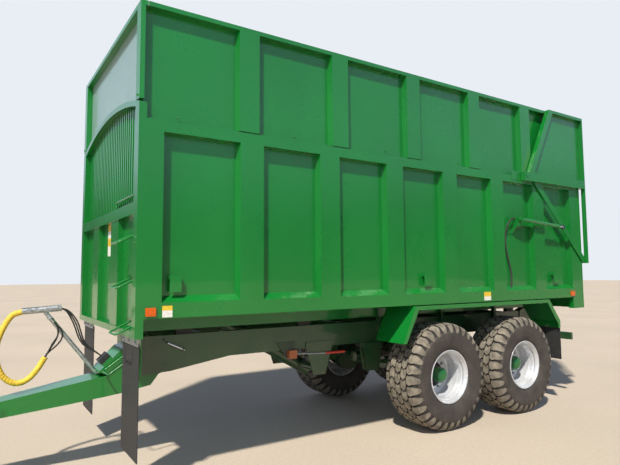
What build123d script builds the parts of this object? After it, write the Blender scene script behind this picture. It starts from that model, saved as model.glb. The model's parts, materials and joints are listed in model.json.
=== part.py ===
from build123d import *
from math import hypot, radians, tan
import os

os.makedirs("parts", exist_ok=True)

# Frame: +X forward to the drawbar eye, +Y the trailer's left, +Z up, ground at z = 0.
# Lengths are in mm. A "back" value is a distance behind the headboard's front face.

# Overall
drawbar_reach = 1720       # headboard face forward to the eye's tip
body_end = 6460
gate_gap = 10
gate_plane = body_end + gate_gap
handle_reach = 170         # tailgate's sheet back to the hatch's handle
rear_reach = gate_plane + handle_reach
head_x = (rear_reach - drawbar_reach) / 2
half_width = 1215          # posts, sills and rails
side_recess = 75           # side sheets stand this far inside the posts
sheet = 5
sheet_y = half_width - side_recess
inner_y = sheet_y - sheet

# Levels of the body
sill_z = 1440
ledge_z, ledge_top_z = 1567, 1622
floor_z, floor_plate = 1600, 6
rail_bottom_z, rail_top_z = 2995, 3092
arch_edge_z = rail_top_z + 133
arch_top_z = arch_edge_z + 183
extension_height = 1003
extension_z = rail_top_z + extension_height
skirt_z = 1283             # foot of the headboard and of the rear beam

# Floor bearers
bearer_width, bearer_first, bearer_pitch, bearer_count = 60, 300, 620, 10

# Posts of the lower side, pressed as hats with sloping flanks
corner_post = 212
rear_post = 265
post_width, post_first, post_pitch, post_count = 240, 1037, 880, 6
flank = 18

# Extension side
lip = 40                   # height of the extension's top lip
extension_end = 5745
extension_recess = 68
extension_y = half_width - extension_recess
ext_post_width, ext_post_first, ext_post_pitch, ext_post_count = 205, 1008, 1048, 5
foot_bead, foot_groove = 12, 16
notch = 86                 # gap over the corner post where the extension starts
notch_z = arch_edge_z + 25
corner_return = 40

# Headboard
head_depth = 66
head_frame = 110           # width of the frame's uprights
crown_band = 50            # depth of the arched top tube
frame_foot = skirt_z + 57
shelf_z, shelf_height, shelf_slope = 2300, 100, 32
hat_y, hat_width, hat_front = 420, 260, 10
rib_pitch, rib_width, rib_depth, rib_pairs = 75, 26, 12, 14
rung_levels = (2145, 1775, 1403)
rung_y1 = half_width - head_frame - 20
rung_y0 = rung_y1 - 235
rung_out, rung_drop, rung_r = 115, 85, 9
grab_y1 = half_width - head_frame - 55
grab_y0, grab_rise = grab_y1 - 670, 60
flap_y1 = half_width - 65
flap_y0 = flap_y1 - 510
flap_back, flap_sheet, flap_foot_z = 50, 8, 300
flap_top_z, angle_z, angle_sheet = 1240, 1215, 10

# Chassis
rail_y, rail_width, rail_wall = 420, 80, 8
rail_z0, rail_z1 = 965, 1215
rail_front, rail_back = 270, 6150
rail_in, rail_out = rail_y - rail_width / 2, rail_y + rail_width / 2
nose_z, nose_end = 860, 1165
runner_z, runner_width = 1265, 70
cross_backs = (900, 2750, 3900, 4600, 5400, 5900)
cross_width = 60
hinge_back, hinge_z = 6250, 1240
hinge_pin_r, hinge_lug_r, hinge_plate = 25, 48, 12
pin_gap = 0.1              # radial running clearance of every pin
seat_gap = 0.3
pad_backs, pad_length = (600, 2000, 3400, 4800, 5700), 160

# Wheels and axles
tyre_r, tyre_width, tyre_y = 610, 512, 1285
rim_r, rim_inset, bead_height = 305, 30, 17
axle_backs = (3550, 4950)
axle_tube, drum_r, drum_width = 100, 190, 120
spindle_r, spindle_end = 38, 1090
hub_face, hub_r, hub_foot_r, dish_back = 1160, 70, 90, 245
spring_y, leaf, leaf_width, leaf_count, leaf_step, spring_half = 450, 13, 76, 5, 85, 520
spring_rise = 70           # top leaf over the axle tube
hanger_plate, hanger_half, hanger_foot, rocker_half = 10, 145, 630, 230
chamber_y, chamber_r, chamber_length = 300, 70, 130

# Mudguards
guard_front, guard_rear, guard_y0, guard_y1 = 2850, 5790, 775, 1245
guard_top, guard_sheet, guard_flange = sill_z - 10, 4, 45
guard_front_z, guard_shoulder_z = 1040, 1130
guard_arms = (3150, 4250, 5350)
arm_size = 50

# Tailgate
gate_y0 = half_width + 10
gate_y1 = gate_y0 + 58
pivot_back, pivot_z, pivot_r = 5120, 3110, 22
arm_z0, arm_z1 = 3030, 3146
gate_depth = 60
upright_back = gate_plane + 30
bar_end, bar_foot_z, tie = upright_back + 17, 1930, 80
brace_foot, brace_head = 5215, 5700
gate_foot_z = 1500
door_y = sheet_y + 10
stile_y, stile = 760, 80
strut_width, strut_thick, brace_width = 85, 10, 90
wing_sheet = 4
hatch_y, hatch_z0, hatch_z1, hatch_lift = 260, 1620, 2020, 460

# Tailgate rams
gate_ram_back, gate_ram_z = 4975, 2500
gate_eye_back, gate_eye_z = 5920, 2437
gate_ram_y, gate_barrel_r, gate_rod_r = gate_y1 - 19, 24, 14
gate_eye_r, gate_pin_r, gate_eye_width = 32, 15, 28
ram_plate_y = half_width + 17
ram_shelf_z, ram_shelf_end = 2412, 5480

# Tipping ram
ram_back, ram_z = 2270, 720
head_back, head_z = 1200, 1330
stage_radii, stage_wall = (80, 66, 53, 41), 7
stage_gap = 0.3
trunnion_r, boss_r, boss_y0, boss_y1 = 30, 45, 70, 125
lug_y0, lug_y1, head_eye_r = 45, 60, 34
cradle_plate, cradle_half, cradle_top_z, cradle_foot_z = 12, 180, 1030, 655

# Drawbar
# Side view of the drawbar's box as (back, z): over its top to the tip and back underneath
bar_outline = [(620, 880), (50, 845), (-860, 700), (-1450, 632), (-1560, 600), (-1560, 525), (-1400, 525),
               (-860, 560), (-300, 612), (160, 660), (440, 705), (520, 805), (620, 840)]
bar_half, bar_tip_half, bar_tip = 170, 60, -1561
eye_r, eye_bore_r, eye_height = 70, 25, 45
eye_back, eye_z = eye_r - drawbar_reach, 560
plate = 12
step_y0, step_y1, step_back, step_z, step_foot_z = 200, 430, -20, 890, 1085
jack_back, jack_y = -1150, 235
jack_r, jack_leg_r, jack_gap = 45, 34, 0.5
jack_z0, jack_z1, jack_foot, jack_overlap = 380, 1010, 190, 270

# Hose stand and hoses
stand_foot, stand_top = (-38, 846), (-504, 1454)
stand_r, guide_r, guide_wall = 20, 30, 4
guide_rear, guide_front = (-367, 1490), (-700, 1470)
hose_r, hose_pitch = 7, 14.5
sleeve_r, sleeve_wall = 25, 3
block_length, block_width, block_height = 110, 120, 50
park_drop = 70             # parking plate below the post's top
park_y = (-33, 33, 57)
coupling_r, coupling_length = 11, 45
ram_hose_r = 11

# Hose routes: (ahead, z) of the headboard's face; the rise also has how far the hoses spread
hose_rise = ((130, 1105, 8), (178, 1165, 16), (206, 1245, 22), (236, 1340, 22), (280, 1420, 16),
             (325, 1470, 6))
hose_loop = ((803, 1405), (852, 1305), (888, 1190), (893, 1070), (862, 945), (795, 855), (715, 820),
             (632, 846), (565, 918), (512, 1005), (476, 1075))
# The loose ends as (ahead, y, z), for the right, middle and left hose
hose_tails = (((427, -20, 1148), (396, -27, 1199), (385, -30, 1242), (389, -30, 1287)),
              ((422, 10, 1121), (380, 18, 1164), (357, 26, 1208), (354, 30, 1253), (370, 30, 1295)),
              ((440, 28, 1163), (406, 40, 1212), (394, 50, 1250), (395, 54, 1290)))
# Ram hose as (ahead of its bracket, y, z)
gate_hose_points = ((0, 1200, 2510), (50, 1200, 2510), (98, 1194, 2482), (130, 1182, 2430),
                    (149, 1170, 2365), (158, 1160, 2290), (157, 1157, 2205), (148, 1156, 2110),
                    (126, 1156, 2020), (97, 1156, 1925), (68, 1158, 1835), (55, 1160, 1750),
                    (64, 1162, 1670), (75, 1162, 1590))

# Lever, lamps and hooks
lever_pivot, lever_grip, lever_end = (1950, 915), (2350, 893), (2610, 889)
lever_r, grip_r = 8, 14
lamp_bar_z0, lamp_bar_z1, lamp_bar_back, lamp_bar_y = 830, 930, 6200, 1150
marker_z0, marker_z1, marker_depth = 1462, 1530, 18
hook_backs, hook_z0, hook_z1 = (336, 3296, 5822), 1650, 1793


def at(back, y, z):
    return Vector(head_x - back, y, z)


def block(back0, back1, y0, y1, z0, z1):
    size = (abs(back1 - back0), abs(y1 - y0), abs(z1 - z0))
    return Pos(*at((back0 + back1) / 2, (y0 + y1) / 2, (z0 + z1) / 2)) * Box(*size)


def plate_xz(points, y0, y1):
    # Outline of (back, z) points, as thick as y0 to y1
    ring = Polyline(*[at(b, y0, z) for b, z in points], close=True)
    return extrude(make_face(ring), amount=y1 - y0, dir=(0, 1, 0))


def plate_yz(points, back0, back1):
    # Outline of (y, z) points, from back0 to back1
    ring = Polyline(*[at(back0, y, z) for y, z in points], close=True)
    return extrude(make_face(ring), amount=back1 - back0, dir=(-1, 0, 0))


def plate_xy(points, z0, z1):
    # Outline of (back, y) points, from z0 to z1
    ring = Polyline(*[at(b, y, z0) for b, y in points], close=True)
    return extrude(make_face(ring), amount=z1 - z0, dir=(0, 0, 1))


def pin_y(back, z, r, y0, y1):
    low, high = sorted((y0, y1))
    face = Plane(origin=at(back, low, z), z_dir=(0, 1, 0)) * Circle(r)
    return extrude(face, amount=high - low, dir=(0, 1, 0))


def pin_z(back, y, r, z0, z1):
    return Pos(*at(back, y, (z0 + z1) / 2)) * Cylinder(r, z1 - z0)


def rod(p, q, r):
    # Round bar between two points
    face = Plane(origin=p, z_dir=q - p) * Circle(r)
    return extrude(face, amount=(q - p).length, dir=(q - p).normalized())


def strip_xz(start, end, width, y0, y1):
    # Flat bar between two (back, z) points
    run = hypot(end[0] - start[0], end[1] - start[1])
    nb = -(end[1] - start[1]) / run * width / 2
    nz = (end[0] - start[0]) / run * width / 2
    corners = [(start[0] + nb, start[1] + nz), (end[0] + nb, end[1] + nz),
               (end[0] - nb, end[1] - nz), (start[0] - nb, start[1] - nz)]
    return plate_xz(corners, y0, y1)


def swept(points, radii, r):
    path = FilletPolyline(*points, radius=radii)
    return sweep(path.location_at(0) * Circle(r), path=path)


def both(shape):
    # The piece and its twin on the other side
    return [shape, mirror(shape, about=Plane.XZ)]


def save(name, shapes):
    solids = []
    for shape in shapes:
        solids += list(shape.solids())
    export_step(Compound(children=solids), f"parts/{name}.step")


# Body: floor, sides, extension, headboard

def floor():
    return block(head_depth, body_end, -inner_y, inner_y, floor_z - floor_plate, floor_z)


def floor_bearers():
    # The last one is the deep rear beam
    bars = []
    for k in range(bearer_count):
        b = bearer_first + k * bearer_pitch
        bars.append(block(b, b + bearer_width, -inner_y, inner_y, sill_z, floor_z - floor_plate))
    beam = block(body_end - bearer_width, body_end, -inner_y, inner_y, skirt_z, floor_z - floor_plate)
    return bars + [beam]


def hat_post(middle, width, foot_y, z0, z1):
    # Pressed post with sloping flanks
    half = width / 2
    outline = [(middle - half - flank, foot_y), (middle - half, half_width),
               (middle + half, half_width), (middle + half + flank, foot_y)]
    return plate_xy(outline, z0, z1)


def side():
    # Folded sill with a sloping ledge, sheet, hat posts and grain rail
    sill = plate_yz([(sheet_y, sill_z), (half_width, sill_z), (half_width, ledge_z),
                     (sheet_y, ledge_top_z)], head_depth, body_end)
    wall = block(head_depth, body_end, inner_y, sheet_y, sill_z, rail_top_z)
    rail = block(head_depth, body_end, sheet_y, half_width, rail_bottom_z, rail_top_z)
    part = sill + wall + rail
    part += block(head_depth, corner_post, sheet_y, half_width, ledge_z, rail_bottom_z)
    part += block(body_end - rear_post, body_end, sheet_y, half_width, ledge_z, rail_bottom_z)
    part += block(body_end - rear_post, body_end, inner_y, half_width, skirt_z, sill_z)
    for k in range(post_count):
        part += hat_post(post_first + k * post_pitch, post_width, sheet_y, ledge_z, rail_bottom_z)
    return part


def extension_side():
    inner = extension_y - sheet
    outline = [(corner_return, notch_z), (notch, notch_z), (notch, rail_top_z),
               (extension_end, rail_top_z), (extension_end, extension_z), (head_depth, extension_z),
               (head_depth, extension_z - lip), (corner_return, extension_z - lip)]
    part = plate_xz(outline, inner, extension_y)
    part += block(head_depth, extension_end, extension_y, half_width, extension_z - lip, extension_z)
    foot_z = rail_top_z + foot_bead
    part += block(notch, extension_end, extension_y, half_width - foot_groove, rail_top_z, foot_z)
    for k in range(ext_post_count):
        part += hat_post(ext_post_first + k * ext_post_pitch, ext_post_width, extension_y,
                         foot_z, extension_z - lip)
    part += block(extension_end - 30, extension_end, extension_y, half_width, foot_z, extension_z - lip)
    return part


def crown_z(y):
    # Height of the headboard's arched top over the width
    rise = arch_top_z - arch_edge_z
    radius = (half_width ** 2 + rise ** 2) / (2 * rise)
    return arch_top_z - radius + (radius ** 2 - y ** 2) ** 0.5


def arch_face(half, drop, foot_z):
    # Outline under an arch, 'drop' below the headboard's top
    left, top, right = (at(0, y, crown_z(y) - drop) for y in (half, 0, -half))
    foot = Polyline(right, at(0, -half, foot_z), at(0, half, foot_z), left)
    return make_face(ThreePointArc(left, top, right) + foot)


def headboard():
    # Tube frame under an arched top, with a ribbed sheet set back in it
    frame_y = half_width - head_frame
    front = head_depth - sheet
    part = extrude(arch_face(half_width, 0, skirt_z), amount=head_depth, dir=(-1, 0, 0))
    hole = extrude(arch_face(frame_y, crown_band, frame_foot), amount=front, dir=(-1, 0, 0))
    part -= hole
    top = shelf_z + shelf_height
    ribs = Part()
    for k in range(-rib_pairs, rib_pairs + 1):
        middle = k * rib_pitch
        ribs += block(front - rib_depth, front, middle - rib_width / 2, middle + rib_width / 2,
                      top, arch_top_z)
    part += ribs & hole
    for y in (-hat_y, hat_y):
        part += block(hat_front, front, y - hat_width / 2, y + hat_width / 2, frame_foot, shelf_z)
    part += block(0, front, -frame_y, frame_y, shelf_z, top)
    return part + plate_xz([(0, top), (front, top), (front, top + shelf_slope)], -frame_y, frame_y)


def extension_front():
    # The sheet stands on the headboard's arch
    inner = extension_y - sheet
    back = head_depth - sheet
    left, top, right = (at(back, y, crown_z(y)) for y in (inner, 0, -inner))
    edge = Polyline(right, at(back, -inner, extension_z - lip), at(back, inner, extension_z - lip), left)
    part = extrude(make_face(ThreePointArc(left, top, right) + edge), amount=sheet, dir=(-1, 0, 0))
    part += block(0, head_depth, -half_width, half_width, extension_z - lip, extension_z)
    post_z = crown_z(inner - corner_return) + 2
    for shape in both(block(0, corner_return, inner, half_width, notch_z, extension_z - lip)):
        part += shape
    for shape in both(block(0, head_depth, inner - corner_return, inner, post_z, extension_z - lip)):
        part += shape
    return part


def climbing_bars():
    # U-shaped rungs and the grab bar, standing out of the headboard
    bars = []
    front = head_depth - sheet
    for z in rung_levels:
        route = [at(front, rung_y0, z), at(-rung_out, rung_y0, z - rung_drop),
                 at(-rung_out, rung_y1, z - rung_drop), at(front, rung_y1, z)]
        beyond = block(front, front + 80, rung_y0 - 60, rung_y1 + 60, z - 60, z + 60)
        bars.append(swept(route, 3 * rung_r, rung_r) - beyond)
    top = shelf_z + shelf_height
    foot = top + shelf_slope / 2
    middle = front / 2
    route = [at(middle, grab_y0, foot), at(middle, grab_y0, foot + grab_rise),
             at(middle, grab_y1, foot + grab_rise), at(middle, grab_y1, foot)]
    shelf = plate_xz([(0, top - 30), (front, top - 30), (front, top + shelf_slope), (0, top)], 0, half_width)
    bars.append(swept(route, 3 * rung_r, rung_r) - shelf)
    return bars


def runners():
    # Long bars under the floor, with the tipping hinge's lugs
    y0, y1 = rail_y - runner_width / 2, rail_y + runner_width / 2
    bar = block(90, body_end - bearer_width, y0, y1, runner_z, sill_z)
    lug = pin_y(hinge_back, hinge_z, hinge_lug_r, y0, y1)
    lug += block(hinge_back - hinge_lug_r, hinge_back + hinge_lug_r, y0, y1, hinge_z, runner_z)
    bore = pin_y(hinge_back, hinge_z, hinge_pin_r + pin_gap, y0 - 5, y1 + 5)
    return both(bar + lug - bore)


def head_bracket():
    # Two lugs that hold the tipping ram's head, on a beam between the runners
    inner = rail_y - runner_width / 2
    part = block(head_back - 60, head_back + 60, -inner, inner, head_z + 60, sill_z)
    for y in (-1, 1):
        part += block(head_back - 45, head_back + 45, y * lug_y0, y * lug_y1, head_z - 35, head_z + 60)
    return part


def flaps():
    return both(block(flap_back, flap_back + flap_sheet, flap_y0, flap_y1, flap_foot_z, flap_top_z))


def flap_hangers():
    return both(block(flap_back - angle_sheet, flap_back, flap_y0, flap_y1, angle_z, skirt_z))


def marker_lamps():
    part = []
    for b0, b1 in ((80, 162), (6127, 6210)):
        part += both(block(b0, b1, half_width, half_width + marker_depth, marker_z0, marker_z1))
    return part


def rope_hooks():
    # Hooks that stand off the sheet over the ledge
    part = []
    for b in hook_backs:
        outline = [(sheet_y, hook_z1), (sheet_y + 55, hook_z1), (sheet_y + 55, hook_z0),
                   (sheet_y + 42, hook_z0), (sheet_y + 42, hook_z1 - 33), (sheet_y, hook_z1 - 33)]
        part += both(plate_yz(outline, b - 50, b + 50))
    return part


def gate_pivots():
    # Foot plate on the grain rail and the tailgate's pin
    foot = block(pivot_back - 255, pivot_back + 60, half_width, half_width + sheet,
                 arm_z0 - 2, rail_top_z + 60)
    pin = pin_y(pivot_back, pivot_z, pivot_r, half_width + sheet, gate_y1 + 2)
    cap = pin_y(pivot_back, pivot_z, pivot_r + 12, gate_y1 + 2, gate_y1 + 7)
    return both(foot + pin + cap)


def ram_feet():
    # Bracket on the side sheet: base plate, upright with the ram's lower pin, ribs and a shelf
    front, back = gate_ram_back - 155, gate_ram_back + 45
    top = gate_ram_z + 35
    part = block(front, back, sheet_y, sheet_y + 8, ram_shelf_z - 100, top)
    part += plate_xz([(gate_ram_back - 50, top), (back, top), (back, ram_shelf_z),
                      (gate_ram_back - 50, ram_shelf_z)], ram_plate_y - 10, ram_plate_y)
    for b in (gate_ram_back - 50, back - 8):
        part += block(b, b + 8, sheet_y, ram_plate_y, ram_shelf_z, top)
    part += plate_yz([(sheet_y, ram_shelf_z - 100), (ram_plate_y, ram_shelf_z), (sheet_y, ram_shelf_z)],
                     gate_ram_back - 50, gate_ram_back - 42)
    part += block(gate_ram_back - 50, back, sheet_y, ram_plate_y, ram_shelf_z, ram_shelf_z + 6)
    post_front = post_first + (post_count - 1) * post_pitch - post_width / 2 - flank
    part += block(back, post_front, sheet_y, ram_plate_y, ram_shelf_z, ram_shelf_z + 6)
    part += block(post_front, ram_shelf_end, half_width, ram_plate_y, ram_shelf_z, ram_shelf_z + 6)
    part += pin_y(gate_ram_back, gate_ram_z, gate_pin_r, ram_plate_y, gate_ram_y + gate_eye_width / 2 + 4)
    return both(part)


# Tailgate

def gate_frame():
    # Outboard frame of one side, with its pivot's bore
    part = block(pivot_back - 60, bar_end, gate_y0, gate_y1, arm_z0, arm_z1)
    part += block(upright_back, bar_end, gate_y0, gate_y1, bar_foot_z, arm_z0)
    part += block(upright_back, bar_end, gate_y0, gate_y1, arm_z1, extension_z - lip)
    part += strip_xz((brace_foot, arm_z1 - 20), (brace_head + 20, extension_z - 20), brace_width,
                     gate_y0, gate_y1)
    part += block(brace_head - 20, bar_end, gate_y0, gate_y1, extension_z - lip, extension_z)
    strut_end = (bar_end - strut_width * 0.36, bar_foot_z + strut_width * 0.45)
    part += strip_xz((pivot_back + 240, arm_z0 + 20), strut_end, strut_width, gate_y0, gate_y0 + strut_thick)
    return part - pin_y(pivot_back, pivot_z, pivot_r + pin_gap, gate_y0 - 1, gate_y1 + 1)


def gate_wing():
    wing = plate_xz([(brace_foot, arm_z1), (upright_back, arm_z1), (upright_back, extension_z - lip),
                     (brace_head, extension_z - lip)], gate_y0, gate_y0 + wing_sheet)
    return wing - gate_frame()


def gate_door():
    # Lower door inside the body's rear posts, upper panel as wide as the wings
    t = gate_depth
    back = gate_plane + t
    skin = gate_plane + sheet
    top = extension_z - lip
    guide = hatch_y + 30
    guide_z0, guide_z1 = hatch_z0 - 20, hatch_z1 + hatch_lift
    part = block(gate_plane, skin, -door_y, door_y, gate_foot_z, arm_z1)
    part += block(gate_plane, skin, -gate_y0, gate_y0, arm_z1, top)
    part += block(gate_plane, back, -door_y, door_y, gate_foot_z, gate_foot_z + t)
    for z0, z1 in ((bar_foot_z, bar_foot_z + tie), (arm_z0, arm_z1), (top, extension_z)):
        part += block(gate_plane, back, -gate_y0, gate_y0, z0, z1)
    for y in (-1, 1):
        part += block(gate_plane, back, y * (door_y - t), y * door_y, gate_foot_z, arm_z0)
        part += block(gate_plane, back, y * (gate_y0 - t), y * gate_y0, arm_z1, top)
        y0, y1 = y * (stile_y - stile / 2), y * (stile_y + stile / 2)
        part += block(skin, back, y0, y1, gate_foot_z + t, bar_foot_z)
        part += block(skin, back, y0, y1, bar_foot_z + tie, arm_z0)
        part += block(skin, gate_plane + 32, y * guide, y * (guide + 30), guide_z0, guide_z1)
        part += block(gate_plane + 32, gate_plane + 38, y * (guide - 25), y * (guide + 30),
                      guide_z0, guide_z1)
    part -= block(skin, back + 1, -guide, guide, hatch_z0, guide_z1)
    return part - block(gate_plane - 1, skin + 1, -hatch_y, hatch_y, hatch_z0, hatch_z1)


def hatch():
    # Grain door that slides up in its guides, with a bar to lift it by
    half = hatch_y + 30 - 0.5
    back = gate_plane + 26
    grip_z = hatch_z1 - 110
    part = block(gate_plane + 11, back, -half, half, hatch_z0 - 20, hatch_z1 + 25)
    for y in (-1, 1):
        part += block(back, rear_reach, y * 60, y * 72, grip_z - 50, grip_z + 50)
    return part + rod(at(rear_reach - 12, -60, grip_z), at(rear_reach - 12, 60, grip_z), 8)


def gate_ram():
    # Barrel and rod, closed; the rod's eye carries its own pin
    run = hypot(gate_eye_back - gate_ram_back, gate_eye_z - gate_ram_z)
    ub, uz = (gate_eye_back - gate_ram_back) / run, (gate_eye_z - gate_ram_z) / run
    y0, y1 = gate_ram_y - gate_eye_width / 2, gate_ram_y + gate_eye_width / 2

    def along(s):
        return at(gate_ram_back + ub * s, gate_ram_y, gate_ram_z + uz * s)

    gland = run - 110
    barrel = rod(along(24), along(gland), gate_barrel_r)
    barrel += rod(along(gland - 30), along(gland), gate_barrel_r + 4)
    barrel += pin_y(gate_ram_back, gate_ram_z, gate_eye_r, y0, y1)
    barrel -= pin_y(gate_ram_back, gate_ram_z, gate_pin_r + pin_gap, y0 - 1, y1 + 1)
    barrel -= rod(along(60), along(run), gate_rod_r + pin_gap)
    piston = rod(along(75), along(run - 20), gate_rod_r)
    piston += pin_y(gate_eye_back, gate_eye_z, gate_eye_r, y0, y1)
    piston += pin_y(gate_eye_back, gate_eye_z, gate_pin_r, gate_y0 + strut_thick + 6, y1 + 6)
    return barrel, piston


# Chassis

def rails():
    # Box rails, open at their rear ends, deepened by a plate at the nose
    bar = block(rail_front, rail_back, rail_in, rail_out, rail_z0, rail_z1)
    hollow = block(rail_front - 1, rail_back + 1, rail_in + rail_wall, rail_out - rail_wall,
                   rail_z0 + rail_wall, rail_z1 - rail_wall)
    nose = plate_xz([(rail_front, nose_z), (540, nose_z + 12), (nose_end, rail_z0), (rail_front, rail_z0)],
                    rail_out - rail_wall, rail_out)
    return both(bar - hollow + nose)


def crossmembers():
    return [block(b, b + cross_width, -rail_in, rail_in, rail_z0 + 40, rail_z1 - 20) for b in cross_backs]


def rest_pads():
    # Blocks that the body lies on
    part = []
    for b in pad_backs:
        part += both(block(b, b + pad_length, rail_y - 30, rail_y + 30, rail_z1, runner_z - seat_gap))
    return part


def hinge_plates():
    front = rail_back - 170
    outline = [(front, rail_z0 + 20), (rail_back, rail_z0 + 20), (hinge_back + 55, hinge_z - 60),
               (hinge_back + 55, hinge_z + 50), (hinge_back - 60, hinge_z + 50), (front, rail_z1)]
    part = plate_xz(outline, rail_out, rail_out + hinge_plate)
    part += plate_xz(outline, rail_in - hinge_plate, rail_in)
    part += pin_y(hinge_back, hinge_z, hinge_pin_r, rail_in - 18, rail_out + 18)
    return both(part)


def drawbar():
    # Tapered box bar under the nose, with the headstock between the rails
    part = plate_xz(bar_outline, -200, 200) & plate_xy(bar_plan(), 400, 1000)
    part += block(rail_front, 400, -rail_in, rail_in, 840, rail_z1)
    part += block(440, 500, -rail_in, rail_in, 860, rail_z0 + 60)
    part += block(rail_front - plate, rail_front, -rail_out, rail_out, nose_z, rail_z1)
    cheek = [(rail_front, 840), (rail_front, 1120), (160, 1085), (-50, 880), (50, 835)]
    for y in (-1, 1):
        part += plate_xz(cheek, y * (bar_half - plate), y * bar_half)
    cover = [(160, 1085), (-50, 880), (-50, 868), (168, 1075), (rail_front, 1108), (rail_front, 1120)]
    part += plate_xz(cover, -bar_half, bar_half)
    route = [at(rail_front, step_y0, step_foot_z), at(step_back, step_y0, step_z),
             at(step_back, step_y1, step_z), at(rail_front, step_y1, step_foot_z)]
    return part + swept(route, 3 * rung_r, rung_r)


def bar_plan():
    # The drawbar seen from above
    right = [(bar_outline[0][0] + 1, -bar_half), (0, -bar_half), (-1480, -bar_tip_half - 15),
             (bar_tip, -bar_tip_half)]
    return right + [(b, -y) for b, y in reversed(right)]


def hitch_eye():
    z0, z1 = eye_z - eye_height / 2, eye_z + eye_height / 2
    ring = pin_z(eye_back, 0, eye_r, z0, z1)
    shank = block(bar_tip + 1, eye_back, -35, 35, z0, z1)
    return ring + shank - pin_z(eye_back, 0, eye_bore_r, z0 - 5, z1 + 5)


def jack():
    # Outer tube on an arm from the drawbar's left side, with its crank
    bore = jack_leg_r + jack_gap
    tube = pin_z(jack_back, jack_y, jack_r, jack_z0, jack_z1)
    tube -= pin_z(jack_back, jack_y, bore, jack_z0 - 1, jack_z1 - 30)
    arm = block(jack_back - 45, jack_back + 45, 60, jack_y, 555, 635)
    arm -= pin_z(jack_back, jack_y, bore, 500, 700)
    arm -= plate_xy(bar_plan(), 400, 1000)
    head = pin_z(jack_back, jack_y, 20, jack_z1, jack_z1 + 40)
    crank = at(jack_back, jack_y, jack_z1 + 28)
    arm_end = crank + Vector(0, 170, 0)
    grip = arm_end - Vector(0, 10, 0)
    return tube + arm + head + rod(crank, arm_end, 8) + rod(grip, grip + Vector(0, 0, 110), 9)


def jack_leg():
    half = jack_foot / 2
    leg = pin_z(jack_back, jack_y, jack_leg_r, 10, jack_z0 + jack_overlap)
    return leg + block(jack_back - half, jack_back + half, jack_y - half, jack_y + half, 0, 12)


def cradle():
    # Plates on the rails' outer faces with a cross tube for the tipping ram's trunnions
    front, rear = ram_back - cradle_half, ram_back + cradle_half
    outline = [(front, cradle_top_z), (rear, cradle_top_z), (rear, rail_z0), (rear - 100, cradle_foot_z),
               (front + 100, cradle_foot_z), (front, rail_z0)]
    part = plate_xz(outline, rail_out, rail_out + cradle_plate)
    part += pin_y(ram_back, ram_z, boss_r, boss_y1 + 1, rail_out)
    part += pin_y(ram_back, ram_z, trunnion_r, boss_y0 + 20, rail_out)
    return both(part)


def tip_ram():
    # Barrel and three stages, closed, leaning forward to the head bracket
    run = hypot(head_back - ram_back, head_z - ram_z)
    ub, uz = (head_back - ram_back) / run, (head_z - ram_z) / run

    def along(s):
        return at(ram_back + ub * s, 0, ram_z + uz * s)

    low, top = -150, run - 60
    last = len(stage_radii) - 1
    stages = []
    for k, r in enumerate(stage_radii):
        start, end = low + 20 * k, top + 14 * k - 30
        if k == last:
            stages.append(rod(along(start), along(run - 20), r))
        else:
            tube = rod(along(start), along(end), r)
            tube -= rod(along(start + 12), along(end - 40), r - stage_wall)
            stages.append(tube - rod(along((start + end) / 2), along(run), stage_radii[k + 1] + stage_gap))
    for y in (-1, 1):
        boss = pin_y(ram_back, ram_z, boss_r, y * boss_y0, y * boss_y1)
        boss -= pin_y(ram_back, ram_z, trunnion_r + pin_gap, y * (boss_y0 + 16), y * (boss_y1 + 5))
        stages[0] += boss - rod(along(low + 1), along(top - 40), stage_radii[0] - 3)
    stages[last] += pin_y(head_back, head_z, head_eye_r, -lug_y0 + 7, lug_y0 - 7)
    return stages


def axles():
    # Square beams with brake drums and spindles
    part = []
    drum_end = tyre_y - tyre_width - 10
    for b in axle_backs:
        half = axle_tube / 2
        beam_end = drum_end - drum_width
        bar = block(b - half, b + half, -beam_end, beam_end, tyre_r - half, tyre_r + half)
        for y in (-1, 1):
            bar += pin_y(b, tyre_r, drum_r, y * beam_end, y * drum_end)
            bar += pin_y(b, tyre_r, spindle_r, y * drum_end, y * spindle_end)
        part.append(bar)
    return part


def chambers():
    # Brake chambers on brackets ahead of the beams
    part = []
    for b in axle_backs:
        face = b - axle_tube / 2
        bracket = block(face - 8, face, chamber_y - 60, chamber_y + 60, tyre_r, tyre_r + 130)
        centre = at(face - 8, chamber_y, tyre_r + 60)
        can = rod(centre, centre + Vector(chamber_length, 0, 0), chamber_r)
        clamp = centre + Vector(chamber_length / 2 - 8, 0, 0)
        rim = rod(clamp, clamp + Vector(16, 0, 0), chamber_r + 8)
        part += both(bracket + can + rim)
    return part


def springs():
    part = []
    y0, y1 = spring_y - leaf_width / 2, spring_y + leaf_width / 2
    axle_top = tyre_r + axle_tube / 2
    for b in axle_backs:
        pack = block(b - 70, b + 70, y0, y1, axle_top, axle_top + 18)
        for k in range(leaf_count):
            half = spring_half - leaf_step * k
            z = axle_top + spring_rise - leaf * k
            pack += block(b - half, b + half, y0, y1, z - leaf, z)
        part += both(pack)
    return part


def hangers():
    # Front and rear slippers and the equaliser between the springs
    part = []
    seat_z = tyre_r + axle_tube / 2 + spring_rise
    y0, y1 = spring_y - leaf_width / 2 - seat_gap, spring_y + leaf_width / 2 + seat_gap
    first, last = axle_backs
    places = ((first - spring_half + 15, hanger_half, 60), ((first + last) / 2, rocker_half, rocker_half),
              (last + spring_half - 15, hanger_half, 60))
    for b, half, seat in places:
        outline = [(b - half, rail_z0), (b + half, rail_z0), (b + half * 0.6, hanger_foot),
                   (b - half * 0.6, hanger_foot)]
        web = plate_xz(outline, y0 - hanger_plate, y0) + plate_xz(outline, y1, y1 + hanger_plate)
        web += block(b - half * 0.75, b + half * 0.75, y0, y1, rail_z0 - 60, rail_z0)
        web += block(b - seat, b + seat, y0, y1, seat_z, seat_z + 30)
        part += both(web)
    return part


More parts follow.
